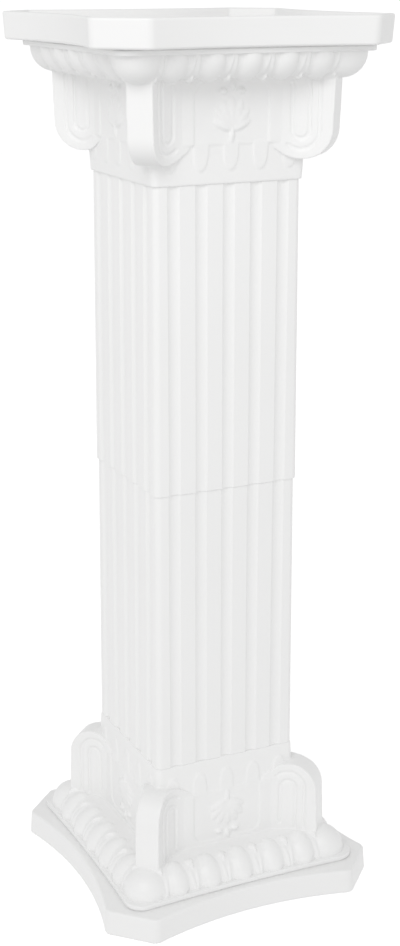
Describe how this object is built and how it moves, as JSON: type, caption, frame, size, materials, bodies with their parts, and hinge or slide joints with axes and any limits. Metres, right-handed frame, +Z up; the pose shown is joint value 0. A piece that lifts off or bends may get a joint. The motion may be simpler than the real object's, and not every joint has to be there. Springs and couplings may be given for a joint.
{
  "type": "column",
  "caption": "Square fluted display column with a bowed-side tray top, egg moulding, corner brackets and a matching base; stands on the floor and holds a pot or bust.",
  "frame": {"origin": "centre of the underside of the base", "axes": "+Z up along the column; the four fluted faces look along +X, -X, +Y and -Y"},
  "size_m": [0.3118, 0.3118, 0.917],
  "materials": {
    "moulded_plastic": "satin white, fine moulded grain"
  },
  "bodies": {
    "root": {"base": "moulded_plastic", "lower_shaft": "moulded_plastic", "upper_shaft": "moulded_plastic", "capital": "moulded_plastic"}
  },
  "joints": []
}
